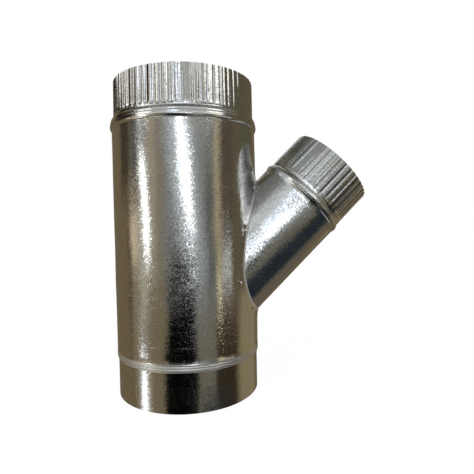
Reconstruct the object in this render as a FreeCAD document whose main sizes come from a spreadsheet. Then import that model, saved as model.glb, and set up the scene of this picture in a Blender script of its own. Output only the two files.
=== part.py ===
import FreeCAD, Part

import math
import os

import Sketcher
from FreeCAD import Placement, Rotation, Vector

# Duct wye of galvanised sheet: a straight main pipe with a smaller branch pipe at 45 degrees.
# Millimetres. +Z runs up the main pipe from the centre of its socket rim, and the branch leans to +X.

doc = FreeCAD.newDocument("duct_wye")

SIZES = [
    ("sheet_gauge", 0.55, "thickness of the galvanised sheet"),
    ("overall_height", 328.0, "main pipe, rim to rim"),
    ("body_bore", 76.2, "inside radius of the main pipe's body"),
    ("socket_bore", 75.05, "inside radius of the plain socket end"),
    ("socket_depth", 39.0, "rim of the socket to the foot of its stop bead"),
    ("stop_bead_width", 8.5, "height of the stop bead along the pipe"),
    ("stop_bead_rise", 0.9, "crown of the stop bead above the line between its feet"),
    ("spigot_radius", 74.8, "outside radius of the top collar and of its flute crests"),
    ("spigot_length", 39.0, "foot of the ogee bead to the crimped rim"),
    ("ogee_bead_width", 12.0, "height of the ogee bead along the pipe"),
    ("ogee_bead_rise", 2.6, "crown of the ogee bead above the line between its feet"),
    ("collar_band", 1.8, "smooth band between the ogee bead and the flutes"),
    ("flute_run_in", 3.6, "length over which the flutes sink to their depth"),
    ("flute_depth", 1.3, "depth of the flutes at their foot"),
    ("flute_deepening", 0.3, "how much deeper the flutes are at the rim"),
    ("foot_draw", 0.12, "how much the crimper draws the wall in where the flutes start"),
    ("rim_draw", 0.5, "how much the crimper draws the rim in"),
    ("flute_count", 64, "flutes round the main pipe's spigot"),
    ("branch_angle", 45.0, "between the two pipes' axes, in degrees"),
    ("branch_rise", 76.5, "height at which the two axes meet"),
    ("branch_radius", 50.0, "outside radius of the branch"),
    ("branch_neck", 19.8, "crotch of the joint to the foot of the branch's bead, along the branch"),
    ("branch_spigot_radius", 49.0, "outside radius of the branch's collar and flute crests"),
    ("branch_spigot_length", 45.0, "foot of the branch's bead to its crimped rim"),
    ("branch_bead_width", 8.4, "length of the branch's bead along its axis"),
    ("branch_bead_rise", 1.2, "crown of the branch's bead above the line between its feet"),
    ("branch_collar_band", 2.4, "smooth band between the branch's bead and its flutes"),
    ("branch_flute_count", 40, "flutes round the branch's spigot"),
    ("hole_clearance", 0.15, "between the branch and the hole in the main pipe"),
    ("lip_rise", 1.6, "how far the hole's turned edge stands off the main pipe"),
    ("flange_width", 10.0, "saddle flange outside the branch's wall"),
    ("weld_gap", 0.05, "between the saddle flange and the main pipe's wall"),
    ("lap_width", 12.0, "overlap of each rolled sheet's long edges"),
]

SEAT = 0.08  # the flutes' foot stands this far outside the collar's bore, clear of its curve
CREST_SHARE = 0.44  # share of a flute's pitch that stays at the crest
BEAD_CHORDS = 3  # straight steps across the section of a bead
FLAT = 1e-6  # a panel's fourth corner may stand this far off the plane of the others

sheet = doc.addObject("Spreadsheet::Sheet", "Sizes")
for row, (alias, value, note) in enumerate(SIZES, start=1):
    sheet.set(f"A{row}", note)
    sheet.set(f"B{row}", str(value))
    sheet.setAlias(f"B{row}", alias)
doc.recompute()


def worked_out(expression):
    return float(sheet.evalExpression(expression))


# Heights up the main pipe, and distances along the branch from where the axes meet
BODY_FOOT = "Sizes.socket_depth + Sizes.stop_bead_width"
COLLAR_FOOT = "Sizes.overall_height - Sizes.spigot_length"
BODY_TOP = f"{COLLAR_FOOT} - Sizes.ogee_bead_width"
BODY_RADIUS = "Sizes.body_bore + Sizes.sheet_gauge"
SOCKET_RADIUS = "Sizes.socket_bore + Sizes.sheet_gauge"
CROTCH = "Sizes.body_bore / sin(Sizes.branch_angle) + Sizes.branch_radius / tan(Sizes.branch_angle)"
BRANCH_BEAD_FOOT = f"{CROTCH} + Sizes.branch_neck"
BRANCH_COLLAR_FOOT = f"{BRANCH_BEAD_FOOT} + Sizes.branch_bead_width"
BRANCH_LENGTH = f"{BRANCH_COLLAR_FOOT} + Sizes.branch_spigot_length"
HOLE_RADIUS = "Sizes.branch_radius + Sizes.hole_clearance"

# Outside line of each sheet, end to end: radius, height, and the rise of the bead that starts there
MAIN_OUTLINE = [
    (SOCKET_RADIUS, "0", ""),
    (SOCKET_RADIUS, "Sizes.socket_depth", "Sizes.stop_bead_rise"),
    (BODY_RADIUS, BODY_FOOT, ""),
    (BODY_RADIUS, BODY_TOP, "Sizes.ogee_bead_rise"),
    ("Sizes.spigot_radius", COLLAR_FOOT, ""),
    ("Sizes.spigot_radius", f"{COLLAR_FOOT} + Sizes.collar_band", ""),
]
BRANCH_OUTLINE = [
    ("Sizes.branch_radius", "0", ""),
    ("Sizes.branch_radius", BRANCH_BEAD_FOOT, "Sizes.branch_bead_rise"),
    ("Sizes.branch_spigot_radius", BRANCH_COLLAR_FOOT, ""),
    ("Sizes.branch_spigot_radius", f"{BRANCH_COLLAR_FOOT} + Sizes.branch_collar_band", ""),
]


def origin_plane(body, role):
    return next(f for f in body.Origin.OriginFeatures if f.Role == role)


def with_beads(outline):
    """The outline with each bead drawn as chords of a parabola between its feet."""
    stations = []
    for index, (radius, height, rise) in enumerate(outline):
        stations.append((radius, height))
        if rise:
            next_radius, next_height, next_rise = outline[index + 1]
            for chord in range(1, BEAD_CHORDS):
                share = chord / BEAD_CHORDS
                swell = f"{4 * share * (1 - share)} * {rise}"
                line = f"({radius}) * {1 - share} + ({next_radius}) * {share}"
                level = f"({height}) * {1 - share} + ({next_height}) * {share}"
                stations.append((f"{line} + {swell}", level))
    return stations


def draw_layer(sketch, outline, outer_offset, inner_offset):
    """Closes the outline into the section of one layer of sheet, between two offsets of its radius."""
    line = with_beads(outline)
    stations = [(f"{radius} + {outer_offset}", height) for radius, height in line]
    stations += [(f"{radius} + {inner_offset}", height) for radius, height in reversed(line)]
    points = [
        Vector(float(sketch.evalExpression(radius)), float(sketch.evalExpression(height)), 0)
        for radius, height in stations
    ]
    for index, point in enumerate(points):
        sketch.addGeometry(Part.LineSegment(point, points[(index + 1) % len(points)]), False)
    rules = []
    for index, (radius, height) in enumerate(stations):
        before = index - 1 if index else len(points) - 1
        rules.append((Sketcher.Constraint("Coincident", before, 2, index, 1), ""))
        rules.append((Sketcher.Constraint("DistanceX", -1, 1, index, 1, points[index].x), radius))
        if height == "0":
            rules.append((Sketcher.Constraint("PointOnObject", index, 1, -1), ""))
        else:
            rules.append((Sketcher.Constraint("DistanceY", -1, 1, index, 1, points[index].y), height))
    sketch.addConstraint([constraint for constraint, expression in rules])
    for place, (constraint, expression) in enumerate(rules):
        if expression:
            sketch.setExpression(f"Constraints[{place}]", expression)


def revolve_layer(body, name, plane_role, outline, offsets, angle):
    sketch = body.newObject("Sketcher::SketchObject", f"{name}Section")
    sketch.AttachmentSupport = [(origin_plane(body, plane_role), "")]
    sketch.MapMode = "FlatFace"
    doc.recompute()
    draw_layer(sketch, outline, *offsets)
    turn = body.newObject("PartDesign::Revolution", name)
    turn.Profile = sketch
    turn.ReferenceAxis = (sketch, ["V_Axis"])
    turn.Midplane = True
    turn.setExpression("Angle", angle)
    sketch.Visibility = False


def rolled_sheet(name, outline, lap_offsets, lap_radius):
    """A sheet rolled to a pipe, with the second layer of its lap at the back."""
    body = doc.addObject("PartDesign::Body", name)
    revolve_layer(body, f"{name}Wall", "XZ_Plane", outline, ("0", "-Sizes.sheet_gauge"), "360")
    lap_angle = f"Sizes.lap_width / {lap_radius} * 180 / pi"
    revolve_layer(body, f"{name}Lap", "YZ_Plane", outline, lap_offsets, lap_angle)
    doc.recompute()
    return body


def flute_angles(count):
    """Corners round the flutes, each with 1 at a crest and 0 at the bottom of a groove."""
    pitch = 2 * math.pi / count
    corners = []
    for index in range(count):
        middle = index * pitch
        corners.append((middle - CREST_SHARE * pitch / 2, 1))
        corners.append((middle + CREST_SHARE * pitch / 2, 1))
        corners.append((middle + pitch / 2, 0))
    return corners


def parallel_inside(points, wall):
    """The closed outline moved inwards by the wall, square to each of its sides."""
    moved = []
    for index, point in enumerate(points):
        before = (point - points[index - 1]).normalize()
        after = (points[(index + 1) % len(points)] - point).normalize()
        first = Vector(-before.y, before.x, 0)
        second = Vector(-after.y, after.x, 0)
        moved.append(point + (first + second) * (wall / (1 + first.dot(second))))
    return moved


def panel(corners):
    return Part.Face(Part.makePolygon(corners + corners[:1]))


def panels(lower, upper):
    """Flat panels between two closed outlines, one for each side, or two where its corners twist."""
    faces = []
    for index, first in enumerate(lower):
        after = (index + 1) % len(lower)
        second, third, fourth = lower[after], upper[after], upper[index]
        normal = (second - first).cross(third - first).normalize()
        if abs(normal.dot(fourth - first)) < FLAT:
            faces.append(panel([first, second, third, fourth]))
        else:
            faces.append(panel([first, second, third]))
            faces.append(panel([first, third, fourth]))
    return faces


def fluted_outlines(crest_radius, foot_height, rim_height, count, lap_radius, lap_outside):
    """Outside and inside outlines of the corrugated wall: at its foot, where it is deep, and at its rim."""
    crest, foot, rim = (worked_out(place) for place in (crest_radius, foot_height, rim_height))
    gauge = worked_out("Sizes.sheet_gauge")
    draw = worked_out("Sizes.foot_draw")
    depth = worked_out("Sizes.flute_depth")
    rim_depth = depth + worked_out("Sizes.flute_deepening")
    lap_angle = worked_out(f"Sizes.lap_width / {lap_radius}")
    levels = [
        (foot, crest - draw, 0, gauge - draw - SEAT, 0),
        (foot + worked_out("Sizes.flute_run_in"), crest, depth, gauge, gauge),
        (rim, crest - worked_out("Sizes.rim_draw"), rim_depth, gauge, gauge),
    ]
    corners = flute_angles(int(worked_out(count)))
    outsides = []
    insides = []
    for height, radius, sink, wall, second_layer in levels:
        outer = []
        for angle, share in corners:
            reach = radius - sink * (1 - share)
            outer.append(Vector(reach * math.cos(angle), reach * math.sin(angle), height))
        inner = parallel_inside(outer, wall)
        for index, (angle, share) in enumerate(corners):
            if abs(angle - math.pi / 2) < lap_angle / 2:
                lift = Vector(math.cos(angle), math.sin(angle), 0) * second_layer
                if lap_outside:
                    outer[index] = outer[index] + lift
                else:
                    inner[index] = inner[index] - lift
        outsides.append(outer)
        insides.append(inner)
    return outsides, insides


def crimp(name, label, pipe, placement, walls):
    """The pipe with its flat end replaced by the corrugated wall, sewn to the collar all round."""
    foot = walls[0][0][0].z
    collar_ends = []
    faces = []
    for face in pipe.Shape.Faces:
        heights = [placement.inverse().multVec(vertex.Point).z for vertex in face.Vertexes]
        at_foot = all(abs(height - foot) < FLAT for height in heights)
        (collar_ends if at_foot else faces).append(face)
    collar_end = collar_ends[0]
    skins = [[[placement.multVec(point) for point in line] for line in lines] for lines in walls]
    for lines in skins:
        for lower, upper in zip(lines, lines[1:]):
            faces += panels(lower, upper)
    foot_rings = [Part.makePolygon(lines[0] + lines[0][:1]) for lines in skins]
    rim_rings = [Part.makePolygon(lines[-1] + lines[-1][:1]) for lines in skins]
    collar_inside = [wire for wire in collar_end.Wires if not wire.isSame(collar_end.OuterWire)][0]
    for wires in ([collar_end.OuterWire, foot_rings[0]], [foot_rings[1], collar_inside], rim_rings):
        faces.append(Part.makeFace(wires, "Part::FaceMakerBullseye"))
    sewn = Part.Compound(faces)
    sewn.sewShape()
    solid = Part.Solid(sewn.Shells[0])
    if solid.Volume < 0:
        solid.reverse()
    made = doc.addObject("Part::Feature", name)
    made.Shape = solid
    made.Label = label
    return made


def cylinder(name, radius, height, base="0", along_branch=False):
    """A cylinder up the main pipe's axis from a height, or out along the branch's axis."""
    made = doc.addObject("Part::Cylinder", name)
    made.setExpression("Radius", radius)
    made.setExpression("Height", height)
    if along_branch:
        place_on_branch(made)
    else:
        made.setExpression("Placement.Base.z", base)
    return made


def place_on_branch(made):
    made.Placement = Placement(Vector(), Rotation(Vector(0, 1, 0), worked_out("Sizes.branch_angle")))
    made.setExpression("Placement.Base.z", "Sizes.branch_rise")
    made.setExpression("Placement.Rotation.Angle", "Sizes.branch_angle")


def combine(kind, name, base, tool):
    made = doc.addObject(f"Part::{kind}", name)
    made.Base = base
    made.Tool = tool
    return made


def body_band(name, outer, inner):
    """A ring between two radii over the whole straight body of the main pipe."""
    height = f"{BODY_TOP} - ({BODY_FOOT})"
    outside = cylinder(f"{name}Outside", outer, height, BODY_FOOT)
    inside = cylinder(f"{name}Inside", inner, height, BODY_FOOT)
    return combine("Cut", name, outside, inside)


# Main pipe: the rolled sheet, its hole for the branch, the hole's turned edge and the crimped end
outside_lap = ("Sizes.sheet_gauge", "-Sizes.sheet_gauge / 2")
main_sheet = rolled_sheet("MainSheet", MAIN_OUTLINE, outside_lap, f"({BODY_RADIUS})")
hole = cylinder("Hole", HOLE_RADIUS, BRANCH_LENGTH, along_branch=True)
main_open = combine("Cut", "MainOpen", main_sheet, hole)

lip_outside = cylinder("LipOutside", f"{HOLE_RADIUS} + Sizes.sheet_gauge", BRANCH_LENGTH, along_branch=True)
lip_tube = combine("Cut", "LipTube", lip_outside, hole)
lip_crown = f"{BODY_RADIUS} + Sizes.lip_rise"
lip_band = body_band("LipBand", lip_crown, "Sizes.body_bore + Sizes.sheet_gauge / 2")
lip = combine("Common", "Lip", lip_tube, lip_band)
main_formed = combine("Fuse", "MainFormed", main_open, lip)
doc.recompute()

main_walls = fluted_outlines(
    "Sizes.spigot_radius",
    f"{COLLAR_FOOT} + Sizes.collar_band",
    "Sizes.overall_height",
    "Sizes.flute_count",
    f"({BODY_RADIUS})",
    True,
)
main_pipe = crimp("MainPipe", "main_pipe", main_formed, Placement(), main_walls)

# Branch pipe: the rolled sheet trimmed to the main pipe's bore, its saddle flange and its crimped end
inside_lap = ("-Sizes.sheet_gauge / 2", "-2 * Sizes.sheet_gauge")
branch_sheet = rolled_sheet("BranchSheet", BRANCH_OUTLINE, inside_lap, "(Sizes.branch_radius)")
place_on_branch(branch_sheet)
saddle_outside = "Sizes.body_bore - Sizes.weld_gap"
saddle_inside = f"{saddle_outside} - Sizes.sheet_gauge"
core = cylinder("SaddleCore", saddle_inside, "Sizes.overall_height")
branch_trimmed = combine("Cut", "BranchTrimmed", branch_sheet, core)

saddle_band = body_band("SaddleBand", saddle_outside, saddle_inside)
saddle_reach = "Sizes.branch_radius + Sizes.flange_width"
saddle_disc = cylinder("SaddleDisc", saddle_reach, BRANCH_LENGTH, along_branch=True)
saddle_blank = combine("Common", "SaddleBlank", saddle_band, saddle_disc)
bore_radius = "Sizes.branch_radius - Sizes.sheet_gauge"
branch_bore = cylinder("BranchBore", bore_radius, BRANCH_LENGTH, along_branch=True)
saddle = combine("Cut", "Saddle", saddle_blank, branch_bore)
branch_formed = combine("Fuse", "BranchFormed", branch_trimmed, saddle)
doc.recompute()

branch_walls = fluted_outlines(
    "Sizes.branch_spigot_radius",
    f"{BRANCH_COLLAR_FOOT} + Sizes.branch_collar_band",
    BRANCH_LENGTH,
    "Sizes.branch_flute_count",
    "Sizes.branch_radius",
    False,
)
branch_pipe = crimp("BranchPipe", "branch_pipe", branch_formed, branch_sheet.Placement, branch_walls)

for made in doc.Objects:
    if "Invalid" in made.State or "Error" in made.State:
        raise RuntimeError(f"{made.Label} failed: {made.State}")
for node in (main_pipe, branch_pipe):
    shape = node.Shape
    if shape.isNull() or not shape.isValid() or len(shape.Solids) != 1:
        raise RuntimeError(f"{node.Label} is not one sound solid")

os.makedirs("parts", exist_ok=True)
for node in (main_pipe, branch_pipe):
    node.Shape.exportStep(f"parts/{node.Label}.step")
    print(node.Label, round(node.Shape.Volume, 1), "mm3", len(node.Shape.Faces), "faces")
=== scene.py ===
import math

import bmesh
import bpy
import numpy as np
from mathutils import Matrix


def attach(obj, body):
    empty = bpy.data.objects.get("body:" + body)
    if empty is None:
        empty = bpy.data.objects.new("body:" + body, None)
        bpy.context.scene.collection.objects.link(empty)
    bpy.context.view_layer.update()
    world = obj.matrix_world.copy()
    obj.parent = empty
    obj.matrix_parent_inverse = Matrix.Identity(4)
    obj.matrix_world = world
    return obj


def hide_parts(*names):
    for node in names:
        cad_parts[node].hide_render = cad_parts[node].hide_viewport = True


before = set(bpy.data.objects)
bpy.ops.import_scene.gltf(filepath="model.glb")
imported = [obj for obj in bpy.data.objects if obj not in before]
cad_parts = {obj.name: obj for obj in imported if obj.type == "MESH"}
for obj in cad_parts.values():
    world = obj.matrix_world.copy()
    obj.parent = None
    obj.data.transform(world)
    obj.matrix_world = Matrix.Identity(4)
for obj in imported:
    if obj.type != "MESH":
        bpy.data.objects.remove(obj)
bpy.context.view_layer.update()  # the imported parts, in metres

mm = 0.001  # metres in a millimetre
turn = 2 * math.pi

scene = bpy.context.scene
scene.view_settings.view_transform = "Standard"


# Small helpers

def pickNothing():
    bpy.ops.object.select_all(action="DESELECT")


def hexColour(text, strength=1.0):
    # sRGB hex to the linear colour that sockets take
    colour = []
    for place in (1, 3, 5):
        part = int(text[place:place + 2], 16) / 255
        part = part / 12.92 if part <= 0.04045 else ((part + 0.055) / 1.055) ** 2.4
        colour.append(part * strength)
    return (*colour, 1.0)


def addNode(tree, kind, inputs=None, **settings):
    node = tree.nodes.new("ShaderNode" + kind)
    for name, value in settings.items():
        setattr(node, name, value)
    for socket, value in (inputs or {}).items():
        if isinstance(value, bpy.types.NodeSocket):
            tree.links.new(value, node.inputs[socket])
        else:
            node.inputs[socket].default_value = value
    return node


def smooth(value):
    value = np.clip(value, 0, 1)
    return value * value * (3 - 2 * value)


def reshape(piece, rule):
    # hands every point of the piece to the rule, in millimetres
    mesh = piece.data
    points = np.empty(len(mesh.vertices) * 3)
    mesh.vertices.foreach_get("co", points)
    points = rule(points.reshape(-1, 3) / mm)
    mesh.vertices.foreach_set("co", (points * mm).ravel())
    mesh.update()


# How the pipes meet, in millimetres

joint = {
    "angle": 45.0,  # between the two pipes
    "rise": 76.5,  # height at which their middle lines cross
    "sheet": 0.55,  # thickness of the zinc-coated sheet
}
lean = math.radians(joint["angle"])
branchAlong = np.array([math.sin(lean), 0, math.cos(lean)])
branchHeel = np.array([math.cos(lean), 0, -math.sin(lean)])
branchStart = np.array([0, 0, joint["rise"]])


def aroundBranch(points):
    # distance from the branch's middle line, angle round it from the heel, and distance along it
    local = points - branchStart
    along = local @ branchAlong
    heel = local @ branchHeel
    side = local[:, 1]
    return np.hypot(heel, side), np.arctan2(side, heel), along


def saddleReach(reach, angle, wallRadius):
    # how far along the branch a point stands that lies on a wall round the main pipe
    side = reach * np.sin(angle)
    return (np.sqrt(wallRadius ** 2 - side ** 2) - reach * np.cos(angle) * math.cos(lean)) / math.sin(lean)


def onWall(reach, angle, wallRadius):
    along = saddleReach(reach, angle, wallRadius)
    flat = np.outer(reach * np.cos(angle), branchHeel) + np.outer(along, branchAlong)
    flat[:, 1] += reach * np.sin(angle)
    return branchStart + flat


# Beads, flutes, laps and spot welds, which both pipes have

def beadStations(foot, width, rise, skew, ripple, ridges, stepAt, below, above, steps=36):
    # a round swell, fullest near its foot where skew is under 1, with fine ridges from the rolls,
    # and the step from one radius to the other above it
    swellPower, ridgePower = 1.2, 0.5
    stations = []
    for step in range(steps + 1):
        share = step / steps
        swell = rise * math.sin(math.pi * share ** skew) ** swellPower
        ridge = ripple * math.sin(ridges * turn * share) * math.sin(math.pi * share) ** ridgePower
        ease = smooth((share - stepAt) / (1 - stepAt))
        stations.append((foot + width * share, below + (above - below) * ease + swell + ridge))
    return stations


def evenStations(low, high, gap, radius):
    count = max(1, round((high - low) / gap))
    return [(low + (high - low) * step / count, radius) for step in range(1, count)]


def fluteStations(foot, rim, radius):
    length = rim - foot
    shares = (0.012, 0.025, 0.04, 0.055, 0.075, 0.1, 0.13, 0.18, 0.27, 0.4, 0.55, 0.7, 0.84, 0.93, 0.98, 1)
    return [(foot, radius)] + [(foot + length * share, radius) for share in shares]


def drawPipe(name, count, stations):
    # a ring of points is drawn up through the stations, as on a lathe
    pickNothing()
    footHeight, footRadius = stations[0]
    foot = (0, 0, footHeight * mm)
    bpy.ops.mesh.primitive_circle_add(vertices=count, radius=footRadius * mm, location=foot)
    pipe = bpy.context.object
    pipe.name = name
    pipe.data.name = name
    bpy.ops.object.transform_apply(location=True)
    bpy.ops.object.mode_set(mode="EDIT")
    bpy.ops.mesh.select_mode(type="EDGE")
    bpy.ops.mesh.select_all(action="SELECT")
    for (height, radius), (nextHeight, nextRadius) in zip(stations, stations[1:]):
        climb = (nextHeight - height) * mm
        bpy.ops.mesh.extrude_edges_move(TRANSFORM_OT_translate={"value": (0, 0, climb)})
        spread = nextRadius / radius
        bpy.ops.transform.resize(value=(spread, spread, 1), center_override=(0, 0, 0))
    bpy.ops.mesh.select_all(action="SELECT")
    bpy.ops.mesh.normals_make_consistent(inside=False)
    bpy.ops.object.mode_set(mode="OBJECT")
    return pipe


def splitColumns(pipe, foot, cuts):
    # each column is cut in narrower ones above the foot of the flutes
    level = 0.001  # mm, edges that rise less than this run round the pipe
    bpy.ops.object.mode_set(mode="EDIT")
    bpy.ops.mesh.select_all(action="DESELECT")
    mesh = bmesh.from_edit_mesh(pipe.data)
    for edge in mesh.edges:
        low, high = sorted(point.co.z / mm for point in edge.verts)
        if low > foot - level and high - low < level:
            edge.select_set(True)
    bmesh.update_edit_mesh(pipe.data)
    bpy.ops.mesh.subdivide(number_cuts=cuts)
    bpy.ops.object.mode_set(mode="OBJECT")


def pressFlutes(crimp):
    draw = np.random.default_rng(crimp["seed"])
    count = crimp["count"]
    shift = draw.uniform(-crimp["astray"], crimp["astray"], count)
    halfWidth = draw.uniform(*crimp["halfWidth"], count)
    depth = draw.uniform(*crimp["depth"], count)
    runIn = draw.uniform(*crimp["runIn"], count)
    cant = draw.uniform(-crimp["cant"], crimp["cant"], count)
    rimWander = draw.uniform(-crimp["rimWander"], crimp["rimWander"], count)
    middle = (np.arange(count) + 0.5) * turn / count
    towards = np.cos(middle - math.radians(crimp["deepestAt"]))
    depth *= np.maximum(crimp["shallowest"], 1 + crimp["uneven"] * towards)
    openFrom, openTo = crimp["openSide"]
    halfWidth += (crimp["openWidth"] - halfWidth) * smooth((towards - openFrom) / (openTo - openFrom))
    narrow = crimp["narrowFoot"]

    def rule(points):
        radius = np.hypot(points[:, 0], points[:, 1])
        angle = np.arctan2(points[:, 1], points[:, 0])
        place = (angle / turn * count) % count
        index = np.floor(place).astype(int) % count
        local = place - np.floor(place) - 0.5
        climb = (points[:, 2] - crimp["foot"]) / (crimp["rim"] - crimp["foot"])
        fromFoot = points[:, 2] - crimp["foot"]
        sink = smooth(fromFoot / runIn[index])
        width = halfWidth[index] * (narrow + (1 - narrow) * sink)
        groove = 0.5 + 0.5 * np.cos(math.pi * np.clip(np.abs(local - shift[index]) / width, 0, 1))
        lowered = groove * sink * (depth[index] + crimp["deepening"] * climb)
        tilted = cant[index] * local * sink
        drawnIn = crimp["rimDraw"] * climb + rimWander[index] * climb ** 3 * sink
        swell = np.exp(-((fromFoot - crimp["bulgeAt"]) / crimp["bulgeReach"]) ** 2)
        bulge = crimp["footBulge"] * (1 - groove) * swell
        pressed = np.where(fromFoot > 0, radius - lowered + tilted + bulge - drawnIn, radius)
        scale = pressed / radius
        return np.column_stack([points[:, 0] * scale, points[:, 1] * scale, points[:, 2]])

    return rule


def foldLap(lap, radius, columns):
    # the outer layer ends in a crisp edge, and on its other side it eases down to the wall
    spacing = turn * radius / columns
    edge = lap["width"] / 2
    crisp = 0.04

    def rule(points):
        reach = np.hypot(points[:, 0], points[:, 1])
        across = (math.pi / 2 - np.arctan2(points[:, 1], points[:, 0])) * radius
        across = (across + math.pi * radius) % (turn * radius) - math.pi * radius
        across = np.where((across > edge - spacing) & (across <= edge), edge - crisp, across)
        across = np.where((across > edge) & (across <= edge + spacing), edge + crisp, across)
        eased = smooth((across + edge + lap["ease"]) / lap["ease"])
        layer = np.where(across < edge, eased, 0)
        if lap["outside"]:
            reach = reach + layer * joint["sheet"]
        else:
            beyond = np.where(across > edge, smooth(1 - (across - edge) / lap["ease"]), 0)
            reach = reach - beyond * joint["sheet"]
        angle = math.pi / 2 - across / radius
        return np.column_stack([reach * np.cos(angle), reach * np.sin(angle), points[:, 2]])

    return rule


def refineRound(pipe, spots, weld):
    # finer faces where a spot weld is pressed
    bpy.ops.object.mode_set(mode="EDIT")
    bpy.ops.mesh.select_mode(type="FACE")
    bpy.ops.mesh.select_all(action="DESELECT")
    mesh = bmesh.from_edit_mesh(pipe.data)
    centres = np.array([face.calc_center_median() for face in mesh.faces]) / mm
    near = np.zeros(len(centres), bool)
    for spot in spots:
        near |= np.linalg.norm(centres - spot, axis=1) < weld["reach"]
    mesh.faces.ensure_lookup_table()
    for index in np.nonzero(near)[0]:
        mesh.faces[index].select_set(True)
    bmesh.update_edit_mesh(pipe.data)
    bpy.ops.mesh.subdivide(number_cuts=weld["cuts"])
    bpy.ops.object.mode_set(mode="OBJECT")


def pressWelds(spots, outward, sizes, weld):
    # an electrode leaves a round pit with a low rim
    def rule(points):
        points = points.copy()
        for spot, away, size in zip(spots, outward, sizes):
            gap = np.linalg.norm(points - spot, axis=1) / size
            pit = -weld["depth"] * np.exp(-(gap / weld["radius"]) ** 4)
            rim = weld["rim"] * np.exp(-((gap - weld["rimRadius"]) / weld["rimWidth"]) ** 2)
            points += np.outer(pit + rim, away)
        return points

    return rule


def giveThickness(pipe, lapGroup):
    # sheet thickness inwards, double where the lap's second layer lies
    sharpFrom = 42  # degrees between two faces
    pickNothing()
    pipe.select_set(True)
    bpy.context.view_layer.objects.active = pipe
    solidify = pipe.modifiers.new("Sheet", "SOLIDIFY")
    solidify.thickness = 2 * joint["sheet"] * mm
    solidify.offset = -1
    solidify.vertex_group = lapGroup.name
    solidify.thickness_vertex_group = 0.5
    bpy.ops.object.modifier_apply(modifier=solidify.name)
    pipe.vertex_groups.clear()
    bpy.ops.object.shade_smooth_by_angle(angle=math.radians(sharpFrom))


def markRubbed(pipe, rule):
    # how far the zinc is rubbed dull and pale, from 0 to 1
    points = np.array([point.co for point in pipe.data.vertices]) / mm
    rubbed = pipe.data.attributes.new("rubbed", "FLOAT", "POINT")
    rubbed.data.foreach_set("value", rule(points).astype(np.float32))


def markLap(pipe, width):
    # the points at the back within the lap's width
    slack = 0.02  # mm
    group = pipe.vertex_groups.new(name="Lap")
    points = np.array([point.co for point in pipe.data.vertices]) / mm
    within = (np.abs(points[:, 0]) < width / 2 + slack) & (points[:, 1] > 0)
    group.add([int(index) for index in np.nonzero(within)[0]], 1.0, "REPLACE")
    return group


# Main pipe

mainPipe = {
    "columns": 256,
    "fluteCuts": 2,  # each column is cut this often above the foot of the flutes
    "rowGaps": {"socket": 8.0, "body": 5.0, "collar": 1.5},  # between the rings of points
    "height": 328.0,
    "rimBand": 1.0,
    "socketRadius": 75.6,
    "bodyRadius": 76.75,
    "spigotRadius": 74.8,
    "stopBead": {
        "foot": 39.0, "width": 8.5, "rise": 0.95, "skew": 0.5,
        "ripple": 0.2, "ridges": 3.5, "stepAt": 0, "steps": 24,
    },
    "beadRubbed": 0.46,  # the rolls rub the stop bead dull and pale
    "beadClear": (0.9, 0.5),  # but not this close to its foot and its top
    "ogeeBead": {
        "foot": 277.6, "width": 11.9, "rise": 1.7, "skew": 0.5,
        "ripple": 0.09, "ridges": 4.5, "stepAt": 0.82, "steps": 24,
    },
    "collarTop": 290.8,
    "holeLip": {"start": 62.0, "end": 51.6, "rise": 0.95, "steepness": 3.5, "margin": 1.0},
    # shares of the way from its start to its end, where it has a ring of points
    "lipRings": (0, 0.14, 0.27, 0.39, 0.5, 0.6, 0.69, 0.77, 0.84, 0.9, 0.95, 0.98, 1),
    # the lip's edge rolls over towards the branch: reach from its middle line, lift off the wall
    "lipEdge": [(51.3, 1.25), (51.0, 1.45), (50.75, 1.57), (50.5, 1.6), (50.32, 1.5), (50.22, 1.25)],
    # its crown is rubbed: how much, how near the branch, and between which lifts off the wall it sets in
    "lipRubbed": {"amount": 0.85, "reach": 53.0, "low": 0.7, "high": 1.2},
    "lap": {"width": 12.0, "ease": 16.0, "outside": True},
    "lapWeldGap": 25.0,
    "lapMargin": (12.0, 8.0),  # no lap weld lies closer than this to the beads
    "waviness": 0.16,
    "waveSeed": 5,
    "calmReach": 25.0,  # beyond the lip the waves grow over this distance
}
mainCrimp = {
    "seed": 11,
    "count": 64,
    "foot": mainPipe["collarTop"],
    "rim": mainPipe["height"],
    "astray": 0.09,  # a share of a flute's pitch, as the widths are
    "halfWidth": (0.12, 0.32),
    "narrowFoot": 0.6,
    "openWidth": 0.5,  # where the crimper bit deepest the flutes are as wide as their pitch
    "openSide": (0.45, 0.75),  # they widen between these cosines of the angle from the deepest side
    "depth": (0.5, 0.85),
    "uneven": 1.1,  # the crimper bit deeper on one side
    "shallowest": 0.15,
    "deepestAt": 205,  # degrees from +X
    "deepening": 0.15,
    "runIn": (3.2, 4.6),
    "cant": 0.5,
    "footBulge": 0.25,  # the metal between the flutes swells at their feet
    "bulgeAt": 1.4,
    "bulgeReach": 0.9,
    "rimDraw": 0.45,
    "rimWander": 0.1,
}
# places round the hole: angle from the heel in degrees, distance from the branch's middle line, size
jointWelds = [(44, 53.6, 0.9), (83, 54.6, 0.9), (118.5, 55.2, 1.9), (152, 54.0, 0.8), (158, 54.2, 0.8)]
weldPit = {
    "depth": 0.8, "radius": 1.6, "rim": 0.3, "rimRadius": 2.4, "rimWidth": 0.64,
    "reach": 4.5, "cuts": 3,  # finer faces as far as this, each side cut this often
}


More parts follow.
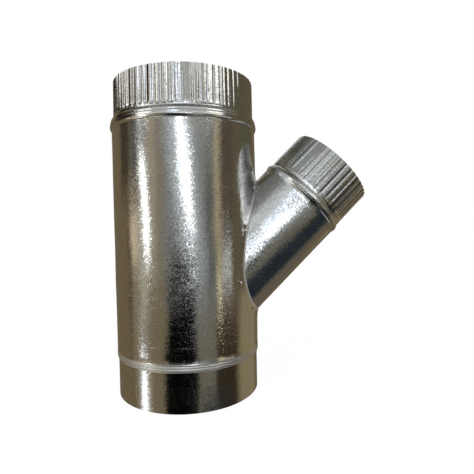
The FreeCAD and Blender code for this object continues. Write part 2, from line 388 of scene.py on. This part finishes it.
def sheetWander(points, amount, seed):
    # a rolled sheet is never quite round: low waves of a few tenths of a millimetre
    draw = np.random.default_rng(seed)
    angle = np.arctan2(points[:, 1], points[:, 0])
    wander = np.zeros(len(points))
    # waves in one round, their length along the pipe in millimetres, and their share
    waves = ((2, 400, 0.8), (3, 260, 0.6), (5, 150, 0.4), (7, 110, 0.3), (11, 70, 0.16))
    shorter = 0.7  # those that wind the other way
    for order, length, share in waves:
        phase, slide = draw.uniform(0, turn, 2)
        wander += share * np.sin(order * angle + phase + turn * points[:, 2] / length)
        wander += share * np.sin(order * angle + slide - turn * points[:, 2] / (shorter * length))
    return amount * wander


def buildMainPipe(sizes):
    stop, ogee = sizes["stopBead"], sizes["ogeeBead"]
    stopTop = stop["foot"] + stop["width"]
    gaps = sizes["rowGaps"]
    stations = [(0, sizes["socketRadius"]), (sizes["rimBand"], sizes["socketRadius"])]
    stations += evenStations(sizes["rimBand"], stop["foot"], gaps["socket"], sizes["socketRadius"])
    stations += beadStations(below=sizes["socketRadius"], above=sizes["bodyRadius"], **stop)
    stations += evenStations(stopTop, ogee["foot"], gaps["body"], sizes["bodyRadius"])
    stations += beadStations(below=sizes["bodyRadius"], above=sizes["spigotRadius"], **ogee)
    ogeeTop = ogee["foot"] + ogee["width"]
    stations += evenStations(ogeeTop, sizes["collarTop"], gaps["collar"], sizes["spigotRadius"])
    stations += fluteStations(sizes["collarTop"], sizes["height"], sizes["spigotRadius"])
    pipe = drawPipe("mainPipe", sizes["columns"], stations)
    reshape(pipe, foldLap(sizes["lap"], sizes["bodyRadius"], sizes["columns"]))
    splitColumns(pipe, sizes["collarTop"], sizes["fluteCuts"])
    reshape(pipe, pressFlutes(mainCrimp))
    openHole(pipe, sizes)

    def wander(points):
        reach = aroundBranch(points)[0]
        calm = smooth((reach - sizes["holeLip"]["start"]) / sizes["calmReach"])
        radius = np.hypot(points[:, 0], points[:, 1])
        scale = 1 + calm * sheetWander(points, sizes["waviness"], sizes["waveSeed"]) / radius
        return np.column_stack([points[:, 0] * scale, points[:, 1] * scale, points[:, 2]])

    reshape(pipe, wander)
    above, below = sizes["lapMargin"]
    lapWelds = np.arange(stopTop + above, ogee["foot"] - below, sizes["lapWeldGap"])
    outside = sizes["bodyRadius"] + joint["sheet"]
    spots = [np.array([0, outside, height]) for height in lapWelds]
    outward = [np.array([0, 1, 0])] * len(spots)
    weldSizes = [1.0] * len(spots)
    for side in (-1, 1):
        for angle, reach, size in jointWelds:
            around = np.array([side * math.radians(angle)])
            spot = onWall(np.array([reach]), around, sizes["bodyRadius"])[0]
            away = np.array([spot[0], spot[1], 0])
            spots.append(spot)
            outward.append(away / np.linalg.norm(away))
            weldSizes.append(size)
    refineRound(pipe, spots, weldPit)
    reshape(pipe, pressWelds(spots, outward, weldSizes, weldPit))
    giveThickness(pipe, markLap(pipe, sizes["lap"]["width"]))

    def rubbedPlaces(points):
        # the crown of the lip, and the stop bead
        reach, angle, along = aroundBranch(points)
        radius = np.hypot(points[:, 0], points[:, 1])
        lip = sizes["lipRubbed"]
        crown = smooth((radius - sizes["bodyRadius"] - lip["low"]) / (lip["high"] - lip["low"]))
        nearFoot, nearTop = sizes["beadClear"]
        onBead = (points[:, 2] > stop["foot"] + nearFoot) & (points[:, 2] < stopTop - nearTop)
        onLip = (reach < lip["reach"]) & (along > 0)
        return np.where(onLip, lip["amount"] * crown, onBead * sizes["beadRubbed"])

    markRubbed(pipe, rubbedPlaces)
    return pipe


def openHole(pipe, sizes):
    # the wall's faces inside the ring go, and their border is drawn in and turned up round the branch
    lip = sizes["holeLip"]
    bpy.ops.object.mode_set(mode="EDIT")
    bpy.ops.mesh.select_mode(type="FACE")
    bpy.ops.mesh.select_all(action="DESELECT")
    mesh = bmesh.from_edit_mesh(pipe.data)
    mesh.verts.ensure_lookup_table()
    points = np.array([point.co for point in mesh.verts]) / mm
    reach, angle, along = aroundBranch(points)
    inside = (reach < lip["start"] + lip["margin"]) & (along > 0)
    for face in mesh.faces:
        if any(inside[point.index] for point in face.verts):
            face.select_set(True)
    bmesh.update_edit_mesh(pipe.data)
    bpy.ops.mesh.delete(type="FACE")
    bpy.ops.mesh.select_mode(type="EDGE")
    bpy.ops.mesh.select_all(action="DESELECT")
    mesh = bmesh.from_edit_mesh(pipe.data)
    for edge in mesh.edges:
        height = edge.verts[0].co.z / mm
        if edge.is_boundary and sizes["rimBand"] < height < sizes["collarTop"]:
            edge.select_set(True)
    bmesh.update_edit_mesh(pipe.data)
    width = lip["start"] - lip["end"]
    rings = []
    for share in sizes["lipRings"]:
        rings.append((lip["start"] - width * share, lip["rise"] * share ** lip["steepness"]))
    for reach, lift in rings + sizes["lipEdge"]:
        bpy.ops.mesh.extrude_edges_move(TRANSFORM_OT_translate={"value": (0, 0, 0)})
        mesh = bmesh.from_edit_mesh(pipe.data)
        border = [point for point in mesh.verts if point.select]
        points = np.array([point.co for point in border]) / mm
        angle = aroundBranch(points)[1]
        placed = onWall(np.full(len(border), reach), angle, sizes["bodyRadius"] + lift)
        for point, place in zip(border, placed):
            point.co = place * mm
        bmesh.update_edit_mesh(pipe.data)
    bpy.ops.object.mode_set(mode="OBJECT")


mainMesh = buildMainPipe(mainPipe)
print("main pipe drawn:", len(mainMesh.data.polygons), "faces")


# Branch pipe, drawn upright and then leaned over

branchPipe = {
    "columns": 320,
    "fluteCuts": 1,
    "rowGaps": {"tube": 10.0, "collar": 1.5},
    "radius": 50.0,
    "spigotRadius": 49.0,
    "length": 230.96,
    "spigotLength": 45.0,
    "bead": {
        "foot": 177.56, "width": 8.4, "rise": 1.0, "skew": 0.9,
        "ripple": 0.1, "ridges": 2.5, "stepAt": 0.78,
    },
    "collarBand": 2.4,
    # the flange inside the main pipe's hole: reach from the branch's middle line,
    # and radius round the main pipe
    "flange": [
        (60, 76.15), (57, 76.15), (54.5, 76.15), (52.5, 76.15),
        (51.3, 76.18), (50.5, 76.4), (50.1, 76.9), (50, 77.6),
    ],
    "lap": {"width": 12.0, "ease": 14.0, "outside": False},
    "firstLapWeld": 125.0,
    "lapWeldGap": 22.0,
    "lapMargin": 6.0,
    "waviness": 0.1,
    "waveSeed": 9,
    "calmRadius": 78.5,  # round the main pipe, beyond which the waves grow
    "calmReach": 25.0,
}
branchCrimp = {
    "seed": 23,
    "count": 40,
    "foot": branchPipe["length"] - branchPipe["spigotLength"] + branchPipe["collarBand"],
    "rim": branchPipe["length"],
    "astray": 0.09,
    "halfWidth": (0.12, 0.3),
    "narrowFoot": 0.6,
    "openWidth": 0.3,
    "openSide": (0.45, 0.75),
    "depth": (0.25, 0.85),
    "uneven": 0.35,
    "shallowest": 0.15,
    "deepestAt": -40,
    "deepening": 0.15,
    "runIn": (3.4, 8.0),
    "cant": 0.6,
    "footBulge": 0.2,
    "bulgeAt": 1.4,
    "bulgeReach": 0.9,
    "rimDraw": 0.45,
    "rimWander": 0.1,
}


def buildBranchPipe(sizes):
    bead = sizes["bead"]
    flange = sizes["flange"]
    footTop = len(flange) - 1
    beadTop = bead["foot"] + bead["width"]
    gaps = sizes["rowGaps"]
    stations = [(step, reach) for step, (reach, wall) in enumerate(flange)]
    stations += evenStations(footTop, bead["foot"], gaps["tube"], sizes["radius"])
    stations += beadStations(below=sizes["radius"], above=sizes["spigotRadius"], **bead)
    stations += evenStations(beadTop, branchCrimp["foot"], gaps["collar"], sizes["spigotRadius"])
    stations += fluteStations(branchCrimp["foot"], sizes["length"], sizes["spigotRadius"])
    pipe = drawPipe("branchPipe", sizes["columns"], stations)
    reshape(pipe, foldLap(sizes["lap"], sizes["radius"], sizes["columns"]))
    splitColumns(pipe, branchCrimp["foot"], sizes["fluteCuts"])
    reshape(pipe, pressFlutes(branchCrimp))

    def seat(points):
        # the foot follows the main pipe's wall
        reach = np.hypot(points[:, 0], points[:, 1])
        angle = np.arctan2(points[:, 1], points[:, 0])
        wall = np.interp(points[:, 2], range(len(flange)), [wallRadius for _, wallRadius in flange])
        saddle = saddleReach(reach, angle, wall)
        share = np.clip((points[:, 2] - footTop) / (bead["foot"] - footTop), 0, 1)
        drawn = saddle * (1 - share) + bead["foot"] * share
        height = np.where(points[:, 2] < bead["foot"], drawn, points[:, 2])
        return np.column_stack([points[:, 0], points[:, 1], height])

    def wander(points):
        radius = np.hypot(points[:, 0], points[:, 1])
        angle = np.arctan2(points[:, 1], points[:, 0])
        fromJoint = points[:, 2] - saddleReach(radius, angle, sizes["calmRadius"])
        calm = smooth(fromJoint / sizes["calmReach"])
        scale = 1 + calm * sheetWander(points, sizes["waviness"], sizes["waveSeed"]) / radius
        return np.column_stack([points[:, 0] * scale, points[:, 1] * scale, points[:, 2]])

    reshape(pipe, seat)
    reshape(pipe, wander)
    lapWelds = np.arange(sizes["firstLapWeld"], bead["foot"] - sizes["lapMargin"], sizes["lapWeldGap"])
    spots = [np.array([0, sizes["radius"], height]) for height in lapWelds]
    refineRound(pipe, spots, weldPit)
    outward = [np.array([0, 1, 0])] * len(spots)
    weldSizes = [1.0] * len(spots)
    reshape(pipe, pressWelds(spots, outward, weldSizes, weldPit))
    giveThickness(pipe, markLap(pipe, sizes["lap"]["width"]))
    pipe.rotation_euler = (0, lean, 0)
    pipe.location = (0, 0, joint["rise"] * mm)
    bpy.ops.object.transform_apply(location=True, rotation=True)
    return pipe


branchMesh = buildBranchPipe(branchPipe)
print("branch pipe drawn:", len(branchMesh.data.polygons), "faces")


# Hot-dip galvanised steel: a bright zinc skin whose small crystals each tip the light a little
# differently, so reflections stay clear but break up into glitter at their edges

zinc = {
    "light": "#E2E3E3",
    "dark": "#CFD1D1",
    "grain": 0.9,  # mm, coarser than the 0.5 mm of the real spangle, so that it shows
    "tip": 0.38,
    "roughness": (0.08, 0.14),
    "cloud": 26.0,  # mm between clearer and duller patches
    "cloudRange": (0.35, 0.65),
    "grainRoughness": 0.1,
    "dullPower": 3.0,  # the higher, the fewer grains are dull
    "rollLineGap": 4.0,  # mm
    "rollLineBreaks": 9.0,  # in a metre across the pipe
    "rollLineRange": (0.66, 0.72),
    "rollLineHeight": 0.05,  # mm
    "scores": [],
    "scoreWidth": 0.35,  # mm
    "scoreWear": 14.0,  # mm between worn places
    "scoreWearRange": (0.42, 0.6),
    "rubbedRoughness": 0.45,
    "rubbedPale": 0.2,
    "rubbedFlat": 0.25,  # rubbed this much, the crystals no longer tip the light
}
# rings scored by the rolls: height in mm, how much rougher
mainScores = [
    (227, 0.12), (210.5, 0.15), (192.1, 0.12), (170, 0.12), (164.5, 0.15),
    (136.7, 0.12), (110.6, 0.4), (74.9, 0.12), (62.7, 0.4),
]
mainZinc = {**zinc, "scores": mainScores}
branchZinc = {**zinc, "tip": 0.6, "roughness": (0.13, 0.21)}


def galvanisedSteel(name, look, alongPipe):
    material = bpy.data.materials.new(name)
    material.use_nodes = True
    tree = material.node_tree
    tree.nodes.clear()
    coords = addNode(tree, "TexCoord").outputs["Object"]
    # the pattern's own frame stands along the pipe
    own = addNode(tree, "Mapping", {
        "Vector": coords, "Rotation": (0, -alongPipe, 0),
    }, vector_type="POINT").outputs[0]
    grains = addNode(tree, "TexVoronoi", {"Vector": own, "Scale": 1 / (look["grain"] * mm)})
    # each grain's colour tips it one way, and the cube leaves most grains nearly level
    centred = addNode(tree, "VectorMath", {
        0: grains.outputs["Color"], 1: (0.5, 0.5, 0.5),
    }, operation="SUBTRACT").outputs[0]
    squared = addNode(tree, "VectorMath", {0: centred, 1: centred}, operation="MULTIPLY")
    cubed = addNode(tree, "VectorMath", {0: squared.outputs[0], 1: centred}, operation="MULTIPLY")
    # where the sheet is rubbed the crystals are flattened
    rubbed = addNode(tree, "Attribute", attribute_name="rubbed")
    tip = addNode(tree, "MapRange", {
        "Value": rubbed.outputs["Fac"], "From Min": 0.0, "From Max": look["rubbedFlat"],
        "To Min": look["tip"], "To Max": 0.0,
    })
    tipped = addNode(tree, "VectorMath", {0: cubed.outputs[0], "Scale": tip.outputs[0]}, operation="SCALE")
    flat = addNode(tree, "NewGeometry").outputs["Normal"]
    tilted = addNode(tree, "VectorMath", {0: flat, 1: tipped.outputs[0]}, operation="ADD")
    unit = addNode(tree, "VectorMath", {0: tilted.outputs[0]}, operation="NORMALIZE")
    # faint rings left by the rolls, broken up round the pipe
    breaks = look["rollLineBreaks"]
    rings = addNode(tree, "Mapping", {
        "Vector": own, "Scale": (breaks, breaks, 1 / (look["rollLineGap"] * mm)),
    })
    lines = addNode(tree, "TexNoise", {
        "Vector": rings.outputs[0], "Scale": 1.0, "Detail": 3.0, "Roughness": 0.7,
    })
    low, high = look["rollLineRange"]
    ridge = addNode(tree, "MapRange", {"Value": lines.outputs[0], "From Min": low, "From Max": high})
    bump = addNode(tree, "Bump", {
        "Height": ridge.outputs[0], "Strength": 0.35,
        "Distance": look["rollLineHeight"] * mm, "Normal": unit.outputs[0],
    })
    cloud = addNode(tree, "TexNoise", {"Vector": own, "Scale": 1 / (look["cloud"] * mm), "Detail": 4.0})
    low, high = look["cloudRange"]
    rough = addNode(tree, "MapRange", {
        "Value": cloud.outputs[0], "From Min": low, "From Max": high,
        "To Min": look["roughness"][0], "To Max": look["roughness"][1],
    })
    # some grains are duller than others
    parts = addNode(tree, "SeparateXYZ", {0: grains.outputs["Color"]})
    dull = addNode(tree, "Math", {0: parts.outputs[0], 1: look["dullPower"]}, operation="POWER")
    rough = addNode(tree, "Math", {
        0: dull.outputs[0], 1: look["grainRoughness"], 2: rough.outputs[0],
    }, operation="MULTIPLY_ADD")
    # the scored rings are worn away here and there
    height = addNode(tree, "SeparateXYZ", {0: own}).outputs[2]
    worn = addNode(tree, "TexNoise", {"Vector": own, "Scale": 1 / (look["scoreWear"] * mm), "Detail": 2.0})
    low, high = look["scoreWearRange"]
    worn = addNode(tree, "MapRange", {"Value": worn.outputs[0], "From Min": low, "From Max": high})
    for place, strength in look["scores"]:
        off = addNode(tree, "Math", {0: height, 1: place * mm}, operation="SUBTRACT")
        off = addNode(tree, "Math", {0: off.outputs[0]}, operation="ABSOLUTE")
        line = addNode(tree, "MapRange", {
            "Value": off.outputs[0], "From Min": 0.0, "From Max": look["scoreWidth"] * mm,
            "To Min": strength, "To Max": 0.0,
        })
        line = addNode(tree, "Math", {0: line.outputs[0], 1: worn.outputs[0]}, operation="MULTIPLY")
        rough = addNode(tree, "Math", {0: rough.outputs[0], 1: line.outputs[0]}, operation="ADD")
    rough = addNode(tree, "Math", {
        0: rubbed.outputs["Fac"], 1: look["rubbedRoughness"], 2: rough.outputs[0],
    }, operation="MULTIPLY_ADD")
    shade = addNode(tree, "Mix", {
        0: parts.outputs[1], 6: hexColour(look["light"]), 7: hexColour(look["dark"]),
    }, data_type="RGBA")
    metal = addNode(tree, "Math", {
        0: rubbed.outputs["Fac"], 1: -look["rubbedPale"], 2: 1.0,
    }, operation="MULTIPLY_ADD")
    skin = addNode(tree, "BsdfPrincipled", {
        "Base Color": shade.outputs[2], "Metallic": metal.outputs[0],
        "Roughness": rough.outputs[0], "Normal": bump.outputs[0],
    })
    addNode(tree, "OutputMaterial", {"Surface": skin.outputs[0]})
    return material


mainMesh.data.materials.clear()
mainMesh.data.materials.append(galvanisedSteel("galvanisedSteelMain", mainZinc, 0))
branchMesh.data.materials.clear()
branchMesh.data.materials.append(galvanisedSteel("galvanisedSteelBranch", branchZinc, lean))
for piece, node in ((mainMesh, "main_pipe"), (branchMesh, "branch_pipe")):
    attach(piece, "root")
    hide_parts(node)
print("zinc finish given")


# Floor, studio and lamps

studio = {
    "floor": "#F2F2F0",
    "walls": "#6E604A",
    # softboxes, flags and walls, each over those before it: middle bearing from the camera's side
    # (+ to the right), half its width, softness, lean with height, lowest and highest angle above
    # the level, all in degrees but the lean, then colour and strength
    "cards": [
        (-150, 24, 8, 0, -90, 90, "#675B46", 1.0),
        (-112, 16, 6, 0, -90, 90, "#6A5C44", 1.0),
        (-100, 15, 5, 0, 4, 17, "#3C3428", 1.0),
        (-97, 5, 3, 0, -6, -2, "#4C4137", 1.0),
        (-97, 5, 3, 0, -13, -9, "#4F422E", 1.0),
        (-84, 8, 4, 0, -90, 90, "#7C6F5A", 1.0),
        (-84, 8, 4, 0, -6, 3, "#C4B496", 1.0),
        (-66, 11, 4, 0, -90, 90, "#A39C8A", 1.0),
        (-82, 8, 4, 0, 4, 17, "#4E4B46", 1.0),
        (-66, 10, 4, 0, 9, 17, "#858480", 1.0),
        (-66, 10, 4, 0, -19, -13, "#6B5D47", 1.0),
        (-48, 9, 5, 0, -90, 90, "#948B78", 1.0),
        (-34, 9, 4, 0, -90, 90, "#7C7568", 1.0),
        (-42, 20, 6, 0, -40, -8, "#70654E", 1.0),
        (10, 38, 8, 0, -90, 90, "#7A7C79", 1.0),
        (30, 18, 6, 0, -60, -12, "#6A6456", 1.0),
        (39, 6, 4, 0, -10, 9, "#5A5A55", 1.0),
        (53, 6, 2, 0, -14, 15, "#8A7E66", 1.0),
        (51, 3, 2, 0, -13, 14, "#A09377", 1.0),
        (53, 3, 2, 0, -13, -8, "#E0D6B0", 1.0),
        (72, 13, 4, 0, -2, 60, "#4C4438", 1.0),
        (67, 9, 2, 0, -8.5, -3, "#BDBFBA", 1.0),
        (66, 20, 4, 0, -40, -13, "#31281B", 1.0),
        (88, 8, 4, 0, -12, 60, "#59503F", 1.0),
        (118, 24, 5, 0, -6, 90, "#544F3B", 1.0),
        (116, 24, 5, 0, -90, -6, "#82765A", 1.0),
        (-106, 26, 5, 0, 17, 32, "#14100C", 1.0),
        (10, 50, 12, 0, 15, 34, "#A6A49D", 1.0),
        (51, 14, 2, 0, 18, 42, "#FCFAF6", 1.5),
        (0, 112, 10, 0, 36, 70, "#7C7B77", 1.0),
        (-75, 30, 14, 0, 40, 66, "#8A8D8C", 1.0),
        (-6, 54, 10, 0, 30, 47, "#CBCDCD", 1.0),
        (0, 180, 14, 0, 74, 90, "#3C4246", 1.0),
        (-118, 20, 6, 0, 42, 66, "#454B4D", 1.0),
        (-156, 24, 8, 0, 28, 70, "#4A473A", 1.0),
        (0, 180, 14, 0, -90, -58, "#B8B2A8", 1.0),
        (0, 180, 14, 0, -90, -72, "#2A2622", 1.0),
        (-61, 4, 4, -0.8, -4, 8, "#FFFFFF", 2.8),
        (-64, 12, 3, 0, 17, 36, "#F4F2EC", 1.5),
        (-74, 5, 4, 0, -40, -18, "#F2F6F8", 2.0),
        (-8, 22, 4, 0, -60, -8, "#030303", 1.0),
        (-11, 26, 4, 0, -60, -16, "#030303", 1.0),
        (-8, 13, 6, 0, -11, -4.5, "#211816", 1.0),
        (58, 36, 10, 0, -60, -25, "#20282E", 1.0),
        (124, 30, 6, 0, -60, -27, "#62584A", 1.0),
        (6, 17, 12, -1.1, -5, 15, "#AEB2B2", 1.0),
        (10, 5.5, 5, -1.2, -0.5, 13, "#F6F9FF", 3.2),
        (8, 5, 3, -0.95, 11, 30, "#E6F1FF", 2.1),
    ],
    "edgeSoftness": 2.5,  # degrees, at a card's lower and upper edge
    "mirrorLoss": 1.22,  # made up for here, because the zinc mirrors less than it gets
    "behind": 174,  # the bearing at which the cards give way to the white backdrop
    "backdropSoftness": 5.0,
    "roomLight": 0.85,
    "floorSize": 6,  # m
    "floorRoughness": 0.7,
    "floorGlow": 0.985,  # how far the floor is plain white to the camera
}


def paintStudio(studio):
    world = bpy.data.worlds.new("Studio")
    world.use_nodes = True
    scene.world = world
    tree = world.node_tree
    tree.nodes.clear()
    way = addNode(tree, "TexCoord").outputs["Generated"]
    parts = addNode(tree, "SeparateXYZ", {0: way})
    towards = addNode(tree, "Math", {0: parts.outputs[1], 1: -1.0}, operation="MULTIPLY")
    bearing = addNode(tree, "Math", {0: parts.outputs[0], 1: towards.outputs[0]}, operation="ARCTAN2")
    bearing = addNode(tree, "Math", {0: bearing.outputs[0]}, operation="DEGREES").outputs[0]
    height = addNode(tree, "Math", {0: parts.outputs[2]}, operation="ARCSINE")
    height = addNode(tree, "Math", {0: height.outputs[0]}, operation="DEGREES").outputs[0]
    seen = addNode(tree, "RGB").outputs[0]
    seen.default_value = hexColour(studio["walls"])
    edge = studio["edgeSoftness"]
    for middle, half, soft, slant, low, high, colour, strength in studio["cards"]:
        leaned = addNode(tree, "Math", {
            0: height, 1: float(slant), 2: float(middle),
        }, operation="MULTIPLY_ADD")
        off = addNode(tree, "Math", {0: bearing, 1: leaned.outputs[0]}, operation="SUBTRACT")
        off = addNode(tree, "Math", {0: off.outputs[0]}, operation="ABSOLUTE")
        across = addNode(tree, "MapRange", {
            "Value": off.outputs[0], "From Min": float(half - soft), "From Max": float(half + soft),
            "To Min": 1.0, "To Max": 0.0,
        }, interpolation_type="SMOOTHSTEP")
        above = addNode(tree, "MapRange", {
            "Value": height, "From Min": low - edge, "From Max": low + edge,
        }, interpolation_type="SMOOTHSTEP")
        below = addNode(tree, "MapRange", {
            "Value": height, "From Min": high - edge, "From Max": high + edge, "To Min": 1.0, "To Max": 0.0,
        }, interpolation_type="SMOOTHSTEP")
        upright = addNode(tree, "Math", {0: above.outputs[0], 1: below.outputs[0]}, operation="MULTIPLY")
        share = addNode(tree, "Math", {0: upright.outputs[0], 1: across.outputs[0]}, operation="MULTIPLY")
        seen = addNode(tree, "Mix", {
            0: share.outputs[0], 6: seen, 7: hexColour(colour, strength * studio["mirrorLoss"]),
        }, data_type="RGBA").outputs[2]
    farRound = addNode(tree, "Math", {0: bearing}, operation="ABSOLUTE")
    start = studio["behind"] - studio["backdropSoftness"]
    full = studio["behind"] + studio["backdropSoftness"]
    backdrop = addNode(tree, "MapRange", {
        "Value": farRound.outputs[0], "From Min": start, "From Max": full,
    }, interpolation_type="SMOOTHSTEP")
    seen = addNode(tree, "Mix", {
        0: backdrop.outputs[0], 6: seen, 7: hexColour("#FFFFFF"),
    }, data_type="RGBA").outputs[2]
    rays = addNode(tree, "LightPath")
    surroundings = addNode(tree, "Mix", {
        0: rays.outputs["Is Glossy Ray"], 6: hexColour("#FFFFFF", studio["roomLight"]), 7: seen,
    }, data_type="RGBA")
    straight = addNode(tree, "Math", {
        0: rays.outputs["Is Camera Ray"], 1: rays.outputs["Is Transmission Ray"],
    }, operation="MAXIMUM")
    shown = addNode(tree, "Mix", {
        0: straight.outputs[0], 6: surroundings.outputs[2], 7: hexColour("#FFFFFF"),
    }, data_type="RGBA")
    glow = addNode(tree, "Background", {"Color": shown.outputs[2], "Strength": 1.0})
    addNode(tree, "OutputWorld", {"Surface": glow.outputs[0]})


paintStudio(studio)

pickNothing()
bpy.ops.mesh.primitive_plane_add(size=studio["floorSize"], location=(0, 0, 0))
floor = bpy.context.object
floor.name = "floor"
paper = bpy.data.materials.new("whitePaper")
paper.use_nodes = True
tree = paper.node_tree
tree.nodes.clear()
matt = addNode(tree, "BsdfPrincipled", {
    "Base Color": hexColour(studio["floor"]), "Roughness": studio["floorRoughness"],
})
bright = addNode(tree, "Emission", {"Color": hexColour("#FFFFFF"), "Strength": 1.0})
rays = addNode(tree, "LightPath")
lift = addNode(tree, "Math", {
    0: rays.outputs["Is Camera Ray"], 1: studio["floorGlow"],
}, operation="MULTIPLY")
sheet = addNode(tree, "MixShader", {0: lift.outputs[0], 1: matt.outputs[0], 2: bright.outputs[0]})
addNode(tree, "OutputMaterial", {"Surface": sheet.outputs[0]})
floor.data.materials.append(paper)
floor.visible_glossy = False

# places and size in metres
softbox = {"place": (-0.5, -0.9, 1.3), "aim": (0.03, 0, 0.15), "size": 1.0, "watts": 16.0}
bpy.ops.object.light_add(type="AREA", location=softbox["place"])
lamp = bpy.context.object
lamp.name = "softbox"
lamp.data.size = softbox["size"]
lamp.data.energy = softbox["watts"]
lamp.visible_glossy = False
aim = bpy.data.objects.new("aim", None)
aim.location = softbox["aim"]
scene.collection.objects.link(aim)
facing = aim.location - lamp.location
lamp.rotation_euler = facing.to_track_quat("-Z", "Y").to_euler()
print("studio lit")


# Camera, close to the pipe and level with its middle

camera = {
    "place": (21.662, -457.008, 180.614),  # mm
    "turned": (87.841, 1.0079, -4.3168),  # degrees
    "lens": 31.07,
}
bpy.ops.object.camera_add(location=[value * mm for value in camera["place"]])
eye = bpy.context.object
eye.name = "camera"
eye.rotation_euler = [math.radians(value) for value in camera["turned"]]
eye.data.sensor_width = 36
eye.data.sensor_fit = "HORIZONTAL"
eye.data.lens = camera["lens"]
eye.data.clip_start = 0.01
scene.camera = eye

print("camera placed")
